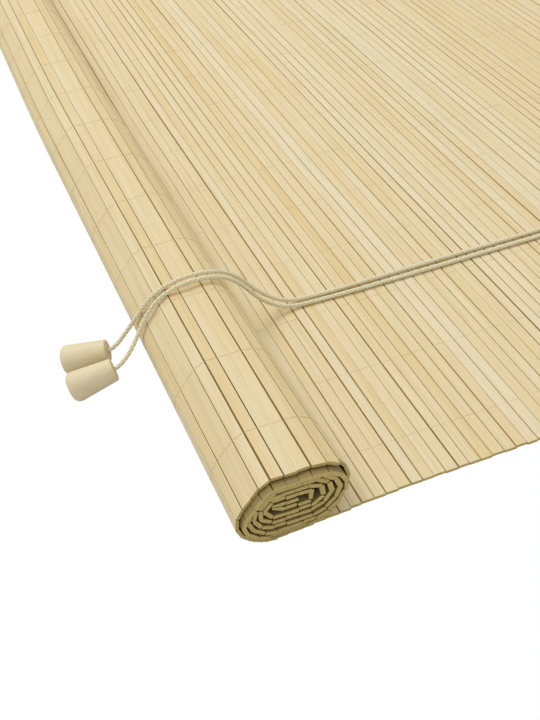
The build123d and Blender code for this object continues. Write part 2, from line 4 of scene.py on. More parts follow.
import bmesh
import bpy
from mathutils import Matrix, Vector, noise


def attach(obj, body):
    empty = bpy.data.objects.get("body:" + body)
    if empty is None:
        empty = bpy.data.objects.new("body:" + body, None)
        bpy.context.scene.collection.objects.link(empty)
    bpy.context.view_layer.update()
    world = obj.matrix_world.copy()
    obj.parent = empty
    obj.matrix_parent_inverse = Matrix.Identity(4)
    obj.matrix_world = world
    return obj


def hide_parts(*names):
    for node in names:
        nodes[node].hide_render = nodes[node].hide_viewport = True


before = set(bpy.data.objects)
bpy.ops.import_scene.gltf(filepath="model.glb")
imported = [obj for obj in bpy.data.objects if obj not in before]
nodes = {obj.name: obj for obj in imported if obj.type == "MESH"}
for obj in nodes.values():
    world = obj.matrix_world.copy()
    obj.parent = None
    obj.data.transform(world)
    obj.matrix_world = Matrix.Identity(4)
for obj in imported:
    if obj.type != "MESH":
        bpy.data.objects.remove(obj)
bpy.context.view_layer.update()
MM = 0.001


def linear(code):
    """Linear colour from an sRGB hex code."""
    parts = [int(code[i : i + 2], 16) / 255 for i in (0, 2, 4)]
    return [p / 12.92 if p <= 0.04045 else ((p + 0.055) / 1.055) ** 2.4 for p in parts] + [1.0]


def add(tree, kind, settings=None, **sockets):
    """A node with its settings, and its sockets set to values or linked to other nodes' outputs."""
    made = tree.nodes.new(kind)
    for name, value in (settings or {}).items():
        setattr(made, name, value)
    for name, value in sockets.items():
        key = int(name[1:]) if name[0] == "i" and name[1:].isdigit() else name.replace("_", " ")
        if isinstance(value, bpy.types.NodeSocket):
            tree.links.new(value, made.inputs[key])
        else:
            made.inputs[key].default_value = value
    return made


def new_material(name):
    """An empty node material with its output, and a surface shader already joined to it."""
    made = bpy.data.materials.new(name)
    made.use_nodes = True
    made.node_tree.nodes.clear()
    shader = add(made.node_tree, "ShaderNodeBsdfPrincipled")
    add(made.node_tree, "ShaderNodeOutputMaterial", Surface=shader.outputs["BSDF"])
    return made, made.node_tree, shader


def ramp(tree, factor, stops):
    """A colour ramp from a list of places and sRGB hex codes."""
    made = add(tree, "ShaderNodeValToRGB", Fac=factor)
    while len(made.color_ramp.elements) < len(stops):
        made.color_ramp.elements.new(0.5)
    for element, (place, code) in zip(made.color_ramp.elements, stops):
        element.position = place
        element.color = linear(code)
    return made.outputs["Color"]


def mapped(tree, scale):
    """Object coordinates in metres, scaled along each axis."""
    coordinates = add(tree, "ShaderNodeTexCoord")
    mapping = add(tree, "ShaderNodeMapping", Vector=coordinates.outputs["Object"], Scale=scale)
    return mapping.outputs["Vector"]


def share_of(value, start, end):
    """How far a value has come from a start to an end, held between 0 and 1."""
    return min(max((value - start) / (end - start), 0), 1)


def between(rows, place):
    """The value at a place between rows of places and values, level beyond the first and the last."""
    for (low, low_value), (high, high_value) in zip(rows, rows[1:]):
        if place <= high:
            return low_value + (high_value - low_value) * share_of(place, low, high)
    return rows[-1][1]


def skin(bm, rings, closed=False):
    """Faces between each ring of vertices and the next, with two end caps unless the last joins the first."""
    sides = []
    next_rings = rings[1:] + rings[:1] if closed else rings[1:]
    for ring, following in zip(rings, next_rings):
        for corner in range(len(ring)):
            nearby = (corner + 1) % len(ring)
            face = bm.faces.new((ring[corner], ring[nearby], following[nearby], following[corner]))
            sides.append((corner, face))
    caps = [] if closed else [bm.faces.new(rings[0][::-1]), bm.faces.new(rings[-1])]
    return sides, caps


def piece(name, bm, material, smooth=False):
    """An object made of a bmesh, with outward faces, that belongs to the blind's fixed body."""
    bmesh.ops.recalc_face_normals(bm, faces=bm.faces)
    mesh = bpy.data.meshes.new(name)
    bm.to_mesh(mesh)
    bm.free()
    for polygon in mesh.polygons:
        polygon.use_smooth = smooth
    mesh.materials.append(material)
    made = bpy.data.objects.new(name, mesh)
    bpy.context.scene.collection.objects.link(made)
    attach(made, "blind")
    return made


# Camera: low over the roll's near end, looking along the cords towards the far end of the roll.
AZIMUTH = math.radians(16.24592951299098)
ELEVATION = math.radians(40.14574781335747)
CAMERA_ROLL = math.radians(-6.750843852868809)
CAMERA_PLACE = (-0.5825826, -0.71440355, 0.38033571)
forward = Vector(
    (math.sin(AZIMUTH) * math.cos(ELEVATION), math.cos(AZIMUTH) * math.cos(ELEVATION), -math.sin(ELEVATION))
)
level = Vector((math.cos(AZIMUTH), -math.sin(AZIMUTH), 0))
upward = level.cross(forward)
right = math.cos(CAMERA_ROLL) * level + math.sin(CAMERA_ROLL) * upward
top = math.cos(CAMERA_ROLL) * upward - math.sin(CAMERA_ROLL) * level
camera_data = bpy.data.cameras.new("camera")
camera_data.lens = 52.68
camera_data.sensor_width = 36
camera_data.clip_start = 0.01
camera = bpy.data.objects.new("camera", camera_data)
camera_axes = Matrix((right, top, -forward)).transposed().to_4x4()
camera.matrix_world = Matrix.Translation(CAMERA_PLACE) @ camera_axes
bpy.context.scene.collection.objects.link(camera)
bpy.context.scene.camera = camera

# Pull cords: two round braids of cotton, side by side from the cord lock along the mat, up over the roll
# and down to the tassels. Each ends in a knot inside its tassel.
BRAID_PITCH = 12.0 * MM
STRANDS = 8
STRAND_RADIUS = 0.46 * MM
STRAND_SIDES = 4
STRAND_FLATNESS = 1.25
BRAID_RADIUS = 0.76 * MM
BRAID_SWAY = 0.16 * MM
STEPS_PER_TURN = 16
KNOT_SIZE = 0.75 * MM
KNOT_CORD_RADIUS = 1.25 * MM
KNOT_STEPS = 96
KNOT_SIDES = 8
ON_MAT = 3.3
far_route = [
    (495.55, -243.6, 11.35),
    (495.55, -243.6, 28.45),
    (470.0, -243.6, 27.9),
    (440.0, -243.2, 10.0),
    (414.0, -243.6, ON_MAT),
    (368.0, -244.6, ON_MAT),
    (310.0, -244.2, ON_MAT),
    (252.0, -242.2, ON_MAT),
    (194.0, -239.6, ON_MAT),
    (135.0, -237.8, ON_MAT),
    (77.0, -237.4, ON_MAT),
    (18.0, -238.6, ON_MAT),
    (-41.0, -241.2, ON_MAT),
    (-99.0, -243.4, ON_MAT),
    (-158.0, -244.4, ON_MAT),
    (-217.0, -244.2, ON_MAT),
    (-330.0, -242.8, ON_MAT),
    (-385.0, -242.4, ON_MAT),
    (-411.0, -242.0, ON_MAT),
    (-431.0, -240.4, 4.0),
    (-445.5, -240.4, 15.4),
    (-458.8, -241.4, 33.8),
    (-471.5, -243.0, 42.6),
    (-492.5, -244.4, 44.8),
    (-509.0, -246.2, 40.5),
    (-518.9, -243.6, 27.3),
    (-527.0, -243.4, 18.4),
    (-536.57, -247.56, 12.8),
    (-544.69, -245.1, 11.22),
    (-552.81, -242.65, 9.95),
]
near_route = [
    (495.55, -248.4, 11.35),
    (495.55, -248.4, 28.45),
    (470.0, -248.4, 27.9),
    (442.0, -248.8, 10.6),
    (417.0, -249.4, ON_MAT),
    (372.0, -250.6, ON_MAT),
    (314.0, -250.6, ON_MAT),
    (256.0, -249.2, ON_MAT),
    (197.0, -247.2, ON_MAT),
    (139.0, -246.2, ON_MAT),
    (80.0, -246.4, ON_MAT),
    (21.0, -247.8, ON_MAT),
    (-38.0, -250.0, ON_MAT),
    (-97.0, -251.2, ON_MAT),
    (-156.0, -251.0, ON_MAT),
    (-215.0, -250.2, ON_MAT),
    (-330.0, -248.8, ON_MAT),
    (-386.0, -248.2, ON_MAT),
    (-412.0, -247.0, ON_MAT),
    (-432.0, -246.2, 3.9),
    (-447.0, -246.2, 14.4),
    (-459.6, -247.2, 33.4),
    (-472.0, -248.4, 42.8),
    (-493.0, -249.8, 44.8),
    (-509.0, -252.5, 40.5),
    (-519.2, -253.6, 27.4),
    (-528.0, -260.2, 18.8),
    (-537.37, -265.67, 13.94),
    (-545.76, -265.18, 11.96),
    (-554.15, -264.68, 10.29),
]

# Braided cotton, off-white with a green tinge: each strand is a bundle of fine yarns.
# Painted shade darkens the braid's folds, where a strand dips under the others or faces the core.
cotton, tree, shader = new_material("braided_cotton")
along = add(tree, "ShaderNodeAttribute", {"attribute_name": "along"}).outputs["Fac"]
across = add(tree, "ShaderNodeAttribute", {"attribute_name": "across"}).outputs["Fac"]
yarn_place = add(tree, "ShaderNodeCombineXYZ", X=along, Y=across)
yarn_map = add(tree, "ShaderNodeMapping", Vector=yarn_place.outputs["Vector"], Scale=(0.25 / MM, 5.0, 1.0))
yarn_noise = add(tree, "ShaderNodeTexNoise", Vector=yarn_map.outputs["Vector"], Scale=1.0, Detail=3.0)
yarns = yarn_noise.outputs["Fac"]
depth = add(tree, "ShaderNodeAttribute", {"attribute_name": "depth"}).outputs["Fac"]
cotton_colour = ramp(tree, yarns, [(0.3, "E9E1BE"), (0.5, "F3EDD2"), (0.7, "FAF6E4")])
painted_fold_shade = ramp(tree, depth, [(0.0, "DACE9C"), (0.5, "FAF5E0"), (1.0, "FFFFFF")])
cotton_mix = add(
    tree,
    "ShaderNodeMix",
    {"data_type": "RGBA", "blend_type": "MULTIPLY"},
    i0=0.85,
    i6=cotton_colour,
    i7=painted_fold_shade,
)
tree.links.new(cotton_mix.outputs[2], shader.inputs["Base Color"])
shader.inputs["Roughness"].default_value = 0.85
shader.inputs["Sheen Weight"].default_value = 0.25
shader.inputs["Sheen Roughness"].default_value = 0.5
yarn_bump = add(tree, "ShaderNodeBump", Height=yarns, Strength=0.5, Distance=0.1 * MM)
tree.links.new(yarn_bump.outputs["Normal"], shader.inputs["Normal"])


def cord_curve(name, route):
    """The core of a cord: one smooth spline through its route, a little thinner than the braid round it."""
    curve = bpy.data.curves.new(name, "CURVE")
    curve.dimensions = "3D"
    curve.resolution_u = 24
    spline = curve.splines.new("NURBS")
    spline.points.add(len(route) - 1)
    for point, place in zip(spline.points, route):
        point.co = (*(Vector(place) * MM), 1)
    spline.order_u = 3
    spline.use_endpoint_u = True
    made = bpy.data.objects.new(name, curve)
    bpy.context.scene.collection.objects.link(made)
    return made


def centre_line(core, step):
    """Points a step apart along a curve without bevel, each with its direction and steady side vectors."""
    mesh = bpy.data.meshes.new_from_object(core)
    raw = [v.co.copy() for v in mesh.vertices]
    bpy.data.meshes.remove(mesh)
    if (raw[0] - core.data.splines[0].points[0].co.to_3d()).length > 1 * MM:
        raw.reverse()
    distance = [0.0]
    for a, b in zip(raw, raw[1:]):
        distance.append(distance[-1] + (b - a).length)
    count = int(distance[-1] / step)
    line, index = [], 0
    for number in range(count + 1):
        place = distance[-1] * number / count
        while index < len(raw) - 2 and distance[index + 1] < place:
            index += 1
        share = (place - distance[index]) / max(distance[index + 1] - distance[index], 1e-9)
        line.append(raw[index].lerp(raw[index + 1], share))
    frames, side = [], Vector((0, 1, 0))
    for number, point in enumerate(line):
        way = (line[min(number + 1, count)] - line[max(number - 1, 0)]).normalized()
        side = (side - way * side.dot(way)).normalized()
        frames.append((point, way, side, way.cross(side)))
    return frames


def braid(name, core):
    """Eight strands round the core, four each way, passing over and under each other."""
    frames = centre_line(core, BRAID_PITCH / STEPS_PER_TURN)
    bm = bmesh.new()
    layers = {key: bm.verts.layers.float.new(key) for key in ("along", "across", "depth")}
    each_way = STRANDS // 2
    for strand in range(STRANDS):
        way_round = 1 if strand < each_way else -1
        phase = (strand % each_way) * 2 * math.pi / each_way
        rings = []
        for number, (point, way, side, up) in enumerate(frames):
            turn = 2 * math.pi * number / STEPS_PER_TURN
            sway = math.cos(each_way * turn) * way_round
            radius = BRAID_RADIUS + BRAID_SWAY * sway
            angle = way_round * turn + phase
            out = math.cos(angle) * side + math.sin(angle) * up
            beside = (-math.sin(angle) * side + math.cos(angle) * up) * way_round
            lay = (way * BRAID_PITCH + beside * 2 * math.pi * radius).normalized()
            wide = lay.cross(out)
            ring = []
            for corner in range(STRAND_SIDES):
                swing = 2 * math.pi * (corner + 0.5) / STRAND_SIDES
                offset = wide * math.cos(swing) * STRAND_FLATNESS + out * math.sin(swing)
                vert = bm.verts.new(point + out * radius + offset * STRAND_RADIUS)
                vert[layers["along"]] = number / STEPS_PER_TURN * BRAID_PITCH + strand
                vert[layers["across"]] = corner + 3 * strand
                # Lower where the strand dips under the others or faces the core: the cotton paints shade
                # there.
                vert[layers["depth"]] = 0.5 + 0.3 * sway + 0.35 * math.sin(swing)
                ring.append(vert)
            rings.append(ring)
        skin(bm, rings)
    return piece(name, bm, cotton, smooth=True), [tuple(point) for point, *_ in frames]


def knot(name, core):
    """An overhand knot at the end of a cord, pulled tight into a ball inside its pocket in the tassel."""
    end = Vector(core.data.splines[0].points[-1].co[:3])
    before = Vector(core.data.splines[0].points[-2].co[:3])
    turn = (end - before).to_track_quat("Z", "X").to_matrix()
    bm = bmesh.new()
    layers = {key: bm.verts.layers.float.new(key) for key in ("along", "across", "depth")}
    line = []
    for number in range(KNOT_STEPS):
        t = 2 * math.pi * number / KNOT_STEPS
        across = math.sin(t) + 2 * math.sin(2 * t)
        upward = math.cos(t) - 2 * math.cos(2 * t)
        line.append(Vector((across, upward, -1.3 * math.sin(3 * t))) * KNOT_SIZE)
    rings = []
    for number, point in enumerate(line):
        way = (line[(number + 1) % KNOT_STEPS] - line[number - 1]).normalized()
        side = way.cross(point).normalized()
        up = way.cross(side)
        ring = []
        for corner in range(KNOT_SIDES):
            swing = 2 * math.pi * corner / KNOT_SIDES
            thick = KNOT_CORD_RADIUS * (1 + 0.06 * math.sin(2 * swing + number * 0.9))
            place = point + (side * math.cos(swing) + up * math.sin(swing)) * thick
            vert = bm.verts.new(end + turn @ place)
            vert[layers["along"]] = number * 0.3 * MM
            vert[layers["across"]] = corner
            # The knot gets a middling painted fold shade all over.
            vert[layers["depth"]] = 0.7
            ring.append(vert)
        rings.append(ring)
    skin(bm, rings, closed=True)
    return piece(name, bm, cotton, smooth=True)


for which, route in (("near", near_route), ("far", far_route)):
    core = cord_curve(f"cord_core_{which}", route)
    strands, path = braid(f"cord_braid_{which}", core)
    end_knot = knot(f"cord_knot_{which}", core)
    core.data.bevel_depth = BRAID_RADIUS
    core.data.bevel_resolution = 1
    core.data.materials.append(cotton)
    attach(core, "blind")
    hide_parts(f"pull_cord_{which}")

# Mat: split bamboo slats laid edge to edge. The lower end is rolled up round a core of folded slats. The roll
# is flattened, with a pressed-in side, and its near end stands out from the laid part.
BLIND_WIDTH = 800.0
SLAT_PITCH = 6.4
HALF_THICK = 0.9
FLAT_SLATS = 156
LIFTED_SLATS = 2
ROLL_X = -490.1
ROLL_RADIUS = 20.9
LAYER_PITCH = 3.0
CORE_HALF_LENGTH = 8.45
ROLL_TURNS = 5.2
LEFT_END_SHARE = 0.36
TOP_SHARE = 0.14
DENT_DEPTH = 0.3
DENT_ANGLE = 139.0
DENT_SPREAD = 44.0
CORE_FOLDS = (46, 0, 0, -6, -100, 180, 180, 150, 0, 0)
ROLL_DRIFT = 4.0
DRIFT_LENGTH = 80.0
STRIP_TOP = 3.05
RISE_END_X = 465.45
RISE_LENGTH = 51.2
HOLE_X = (491.05, 500.05)
HOLES_Y = ((-250.8, -241.2), (241.2, 250.8))
CORE_Z = HALF_THICK + ROLL_RADIUS
SEARCH_STEP = 0.002
HALVINGS = 25


def roll_point(turns):
    """Centre of the slats' thickness, so many turns in from where the roll leaves the floor."""
    share = turns % 1.0
    right_end = LEFT_END_SHARE + TOP_SHARE
    if share < LEFT_END_SHARE:
        centre, angle = -CORE_HALF_LENGTH, -90 - 180 * share / LEFT_END_SHARE
    elif share < right_end:
        centre, angle = CORE_HALF_LENGTH * (2 * (share - LEFT_END_SHARE) / TOP_SHARE - 1), -270
    elif share < right_end + LEFT_END_SHARE:
        centre, angle = CORE_HALF_LENGTH, -270 - 180 * (share - right_end) / LEFT_END_SHARE
    else:
        centre, angle = CORE_HALF_LENGTH * (1 - 2 * (share - right_end - LEFT_END_SHARE) / TOP_SHARE), -450
    away = (angle - DENT_ANGLE + 180) % 360 - 180
    radius = (ROLL_RADIUS - LAYER_PITCH * turns) * (1 - DENT_DEPTH * math.exp(-((away / DENT_SPREAD) ** 2)))
    swing = math.radians(angle)
    return Vector((ROLL_X + centre + radius * math.cos(swing), 0, CORE_Z + radius * math.sin(swing)))


def roll_joints():
    """Lines where one slat of the roll meets the next, with the turns made up to each of them."""
    joints, turns, counts = [roll_point(0)], 0.0, [0.0]
    while turns < ROLL_TURNS:
        near, far = turns, turns + SEARCH_STEP
        while (roll_point(far) - joints[-1]).length < SLAT_PITCH:
            near, far = far, far + SEARCH_STEP
        for _ in range(HALVINGS):
            middle = (near + far) / 2
            if (roll_point(middle) - joints[-1]).length < SLAT_PITCH:
                near = middle
            else:
                far = middle
        turns = far
        joints.append(roll_point(turns))
        counts.append(turns)
    joints.pop()
    counts.pop()
    for heading in CORE_FOLDS:
        way = Vector((math.cos(math.radians(heading)), 0, math.sin(math.radians(heading))))
        joints.append(joints[-1] + way * SLAT_PITCH)
        counts.append(turns)
    return joints, counts


def mat_height(x):
    """Height of the middle of the slats: on the floor, then eased up onto the clamp strip."""
    share = share_of(x, RISE_END_X - RISE_LENGTH, RISE_END_X)
    return HALF_THICK + STRIP_TOP * share * share * (3 - 2 * share)


spiral, turn_counts = roll_joints()
joints = [Vector((spiral[0].x + n * SLAT_PITCH, 0, 0)) for n in range(FLAT_SLATS, 0, -1)]
for joint in joints:
    joint.z = mat_height(joint.x)
joints += spiral
laid_count = FLAT_SLATS + LIFTED_SLATS
drift_start = joints[laid_count].x + DRIFT_LENGTH

# Split bamboo: cream, straw and honey slats, each with its own tone, long patches and fine fibres. The cut
# ends are olive and spongy. The walls of the slits and the faces inside the roll get brown painted shade.
SLAT_APART = 40.0
bamboo, tree, shader = new_material("split_bamboo")
tone = add(tree, "ShaderNodeAttribute", {"attribute_name": "tone"}).outputs["Fac"]
edge = add(tree, "ShaderNodeAttribute", {"attribute_name": "edge"}).outputs["Fac"]
cut = add(tree, "ShaderNodeAttribute", {"attribute_name": "cut"}).outputs["Fac"]
slat_colour = ramp(tree, tone, [(0.0, "ECE3CA"), (0.35, "E9DBB8"), (0.7, "E6D3A5"), (1.0, "E2C991")])
apart = add(tree, "ShaderNodeMath", {"operation": "MULTIPLY"}, i0=tone, i1=SLAT_APART).outputs[0]
shift = add(tree, "ShaderNodeCombineXYZ", X=apart, Z=apart)
patch_place = add(
    tree, "ShaderNodeVectorMath", {"operation": "ADD"}, i0=mapped(tree, (170, 6, 170)), i1=shift.outputs[0]
)
patches = add(tree, "ShaderNodeTexNoise", Vector=patch_place.outputs[0], Scale=1.0, Detail=2.0)
patch_colour = ramp(
    tree, patches.outputs["Fac"], [(0.3, "E1D7AC"), (0.44, "EBDFBC"), (0.56, "E9D5AA"), (0.7, "E6CF9E")]
)
patch_mix = add(tree, "ShaderNodeMix", {"data_type": "RGBA"}, i0=0.45, i6=slat_colour, i7=patch_colour)
fibre_place = add(
    tree,
    "ShaderNodeVectorMath",
    {"operation": "ADD"},
    i0=mapped(tree, (1100, 16, 1100)),
    i1=shift.outputs[0],
)
fibres = add(
    tree, "ShaderNodeTexNoise", Vector=fibre_place.outputs[0], Scale=1.0, Detail=4.0, Roughness=0.6
)
fibre_tint = ramp(tree, fibres.outputs["Fac"], [(0.28, "EDE4CC"), (0.5, "FCF9F1"), (0.72, "FFFFFF")])
slat_mix = add(
    tree,
    "ShaderNodeMix",
    {"data_type": "RGBA", "blend_type": "MULTIPLY"},
    i0=0.7,
    i6=patch_mix.outputs[2],
    i7=fibre_tint,
)
# Painted shade: dark olive-brown on faces inside the roll, brown on the slit walls, mixed over the slats'
# colour.
edge_colour = ramp(tree, edge, [(0.86, "7C6622"), (0.94, "86682C"), (1.0, "B0914E")])
edge_mix = add(
    tree, "ShaderNodeMix", {"data_type": "RGBA"}, i0=edge, i6=slat_mix.outputs[2], i7=edge_colour
)
pith = add(tree, "ShaderNodeTexVoronoi", Vector=mapped(tree, (2600, 2600, 2600)), Scale=1.0)
pith_colour = ramp(tree, pith.outputs["Distance"], [(0.1, "9C8846"), (0.45, "CAB56E"), (0.9, "E0CE8E")])
cut_mix = add(tree, "ShaderNodeMix", {"data_type": "RGBA"}, i0=cut, i6=edge_mix.outputs[2], i7=pith_colour)
tree.links.new(cut_mix.outputs[2], shader.inputs["Base Color"])
gloss = add(tree, "ShaderNodeMapRange", Value=fibres.outputs["Fac"], i3=0.62, i4=0.42)
tree.links.new(gloss.outputs["Result"], shader.inputs["Roughness"])
shader.inputs["Specular IOR Level"].default_value = 0.35
fibre_bump = add(tree, "ShaderNodeBump", Height=fibres.outputs["Fac"], Strength=0.35, Distance=0.12 * MM)
tree.links.new(fibre_bump.outputs["Normal"], shader.inputs["Normal"])

# Slits: each one sits a little beside its joint, and opens and closes along its length. They are tighter
# towards the far part of the mat. Two slits on the roll, given by their joints, gape at its near end.
LEAST_SLIT = 0.02
SLIT_RANGE = 0.22
TIGHTEST = 0.015
FLAT_SHIFT, ROLL_SHIFT = 0.7, 0.2
FLAT_WANDER, ROLL_WANDER = 0.5, 0.2
WANDER_SPAN = 260.0
OPENING_SPAN = 200.0
OPENING_SWING = 1.8
FAR_TIGHTENING = 0.6
TIGHTER_FROM, TIGHT_BY = -380.0, -80.0
GAPING = {165: 0.28, 170: 0.35}
GAPING_END = -200.0
NEAR_END = -400.0
dice = random.Random(41)
slits = []
for number in range(len(joints)):
    strength = dice.random()
    flat_slit = number < FLAT_SLATS
    aside = FLAT_SHIFT if flat_slit else ROLL_SHIFT
    slits.append(
        {
            "half": LEAST_SLIT + SLIT_RANGE * strength**3,
            "shift": dice.uniform(-aside, aside),
            "wander": FLAT_WANDER if flat_slit else ROLL_WANDER,
            "seed": dice.uniform(0, 1000),
        }
    )


def slit_at(number, y):
    """Middle and half width of the slit at a joint, in mm from the joint, at a place along the slats."""
    slit = slits[number]
    wander = noise.noise(Vector((slit["seed"], y / WANDER_SPAN, 0.5)))
    opening = 1 + OPENING_SWING * noise.noise(Vector((slit["seed"], y / OPENING_SPAN, 7.5)))
    tightness = 1 - FAR_TIGHTENING * share_of(y, TIGHTER_FROM, TIGHT_BY)
    half = slit["half"] * tightness * max(opening, 0)
    half += GAPING.get(number, 0) * share_of(y, GAPING_END, NEAR_END)
    return slit["shift"] + slit["wander"] * wander, max(TIGHTEST, half)


# Skew: the mat was rolled up a little askew, so its slats run off to the left with the distance. LEAN gives
# the slope at places along the mat. The near end of the roll bulges to the right.
LEAN = (
    (-521.0, 0.0195),
    (-507.0, 0.0185),
    (-495.0, 0.017),
    (-484.0, 0.0147),
    (-463.0, 0.012),
    (-445.0, 0.011),
    (-415.0, 0.0078),
    (-380.0, 0.0065),
    (-330.0, 0.004),
    (-290.0, 0.0),
)
LEAN_START = -404.0
LEAN_FADE = 30.0
BULGE = 3.0
BULGE_LENGTH = 110.0
BULGE_X = (-480.0, -468.0)
BULGE_Z = (6.0, 22.0)


def leaned(place):
    """A place on the mat, moved by the bulge and by the skew, which levels off past the blind's middle."""
    reach = place.y - LEAN_START
    if place.y > 0:
        reach = LEAN_FADE * (1 - math.exp(-place.y / LEAN_FADE)) - LEAN_START
    bulge = BULGE * share_of(place.x, *BULGE_X) * share_of(place.z, *BULGE_Z)
    bulge *= share_of(place.y, LEAN_START + BULGE_LENGTH, LEAN_START)
    return place + Vector((bulge - between(LEAN, place.x) * reach, 0, 0))


# Slats: bars with eased edges and a faintly crowned face. From the second turn on they are a little thicker,
# as the turns are pressed together there. TELESCOPE gives how far each turn stands out at the near end.
STATION = 28.5
stations = [n * STATION for n in range(-14, 15)]
END_MARGIN = 4.0
EDGE = 0.22
CROWN = 0.06
BOTTOM_RISE = 0.06
ENDS = 0.35
LIFT = (-0.08, 0.03)
TILT = 0.07
FOLD_GAP = 0.05
SECOND_TURN = 0.95
EXTRA_OUTSIDE, EXTRA_INSIDE = 0.2, 0.1
UPPER_CORNERS = (4, 5, 6, 7)
WALL_CORNERS = (2, 3, 8, 9)
# How strong the painted shade is on slit walls, on slit walls in the roll, and on faces inside the roll.
SLIT_SHADE, ROLL_SLIT_SHADE, INSIDE_SHADE = 1.0, 0.94, 0.82
TONE_STEP = 0.2
TONE_SPREAD = 0.3
PALER_ROLL = 0.15
TELESCOPE = (
    (0.0, 0.0),
    (0.57, 0.0),
    (0.59, -3.5),
    (0.72, -3.5),
    (0.76, 0.0),
    (0.95, 0.0),
    (1.2, 3.6),
    (1.5, 3.6),
    (1.7, 0.8),
    (2.3, 1.6),
    (3.0, 0.6),
    (6.0, 0.0),
)


def run_at(number):
    """Length and direction of a slat, from its joint to the next, and the direction out of its face."""
    run = joints[number + 1] - joints[number]
    along = run.normalized()
    return run.length, along, Vector((along.z, 0, -along.x))


def fold_at(number):
    """Mean direction of the mat at a joint, and how far the fold takes the faces inside it back."""
    along = run_at(min(number, len(joints) - 2))[1]
    before = run_at(max(number - 1, 0))[1]
    mean = (along + before).normalized()
    half_turn = math.acos(min(mean.dot(along), 1))
    return mean, HALF_THICK * math.tan(half_turn) + (FOLD_GAP if half_turn > 0.02 else 0)


def add_slat(bm, layers, number, low_y, high_y, tone, lift, tilt):
    """One slat between two joints: a long bar with eased edges that meets the next at mid-thickness."""
    rolled = number >= laid_count
    inside = rolled and turn_counts[number - FLAT_SLATS] > SECOND_TURN
    first = joints[number]
    length, along, out = run_at(number)
    (mean, fold), (next_mean, next_fold) = fold_at(number), fold_at(number + 1)
    places = [low_y] + [y for y in stations if low_y + END_MARGIN < y < high_y - END_MARGIN] + [high_y]
    bottom, upper = -HALF_THICK + BOTTOM_RISE, HALF_THICK + lift
    if inside:
        bottom, upper = bottom - EXTRA_OUTSIDE, upper + EXTRA_INSIDE
    rings = []
    for y in places:
        middle, half = slit_at(number, y)
        start, contact = middle + half, first + mean * middle
        middle, half = slit_at(number + 1, y)
        end, next_contact = length + middle - half, joints[number + 1] + next_mean * middle
        upper_start, upper_end = max(start, fold), min(end, length - next_fold)
        section = [
            (start + EDGE, bottom),
            (end - EDGE, bottom),
            (end, bottom + EDGE),
            next_contact,
            (upper_end, upper - EDGE),
            (upper_end - EDGE, upper),
            ((upper_start + upper_end) / 2, upper + CROWN),
            (upper_start + EDGE, upper),
            (upper_start, upper - EDGE),
            contact,
            (start, bottom + EDGE),
        ]
        ring = []
        for place in section:
            if not isinstance(place, Vector):
                across, height = place
                height += tilt * (across / SLAT_PITCH - 0.5) * (height > 0)
                place = first + along * across + out * height
            ring.append(bm.verts.new(leaned(place + Vector((0, y, 0))) * MM))
        rings.append(ring)
    # Painted shade: olive-brown on rolled slats' inner faces and on all faces past the second turn, brown on
    # slit walls.
    shades = [INSIDE_SHADE if inside else 0.0] * len(section)
    for corner in UPPER_CORNERS:
        shades[corner] = INSIDE_SHADE if rolled else 0.0
    for corner in WALL_CORNERS:
        shades[corner] = ROLL_SLIT_SHADE if rolled else SLIT_SHADE
    sides, ends = skin(bm, rings)
    for corner, face in sides:
        face[layers["tone"]] = tone
        face[layers["edge"]] = shades[corner]
    for face in ends:
        face[layers["tone"]] = tone
        face[layers["cut"]] = 1.0


def end_shift(number):
    """How far a slat is pushed towards the near end: by the drift before the roll, then turn by turn."""
    if number < laid_count:
        return ROLL_DRIFT * share_of(joints[number + 1].x, drift_start, drift_start - DRIFT_LENGTH)
    return ROLL_DRIFT + between(TELESCOPE, turn_counts[number - FLAT_SLATS])


tone_drift = 0.5
for name, members, node_name in (
    ("laid_slats", range(laid_count), "flat_mat"),
    ("rolled_slats", range(laid_count, len(joints) - 1), "rolled_mat"),
):
    bm = bmesh.new()
    layers = {key: bm.faces.layers.float.new(key) for key in ("tone", "edge", "cut")}
    for number in members:
        tone_drift += dice.uniform(-TONE_STEP, TONE_STEP) + 0.2 * (0.5 - tone_drift)
        paler = PALER_ROLL if number > FLAT_SLATS else 0
        slat_tone = min(max(tone_drift - paler + dice.uniform(-TONE_SPREAD, TONE_SPREAD), 0), 1)
        lift, tilt = dice.uniform(*LIFT), dice.uniform(-TILT, TILT)
        low_y = -BLIND_WIDTH / 2 - end_shift(number) + dice.uniform(-ENDS, ENDS)
        high_y = BLIND_WIDTH / 2 - end_shift(number) + dice.uniform(-ENDS, ENDS)
        low_x = min(joints[number].x, joints[number + 1].x)
        cuts = [low_y, high_y]
        if low_x < HOLE_X[1] and low_x + SLAT_PITCH > HOLE_X[0]:
            cuts = [low_y, *HOLES_Y[0], *HOLES_Y[1], high_y]
        for start, stop in zip(cuts[::2], cuts[1::2]):
            add_slat(bm, layers, number, start, stop, slat_tone, lift, tilt)
    made = piece(name, bm, bamboo)
    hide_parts(node_name)

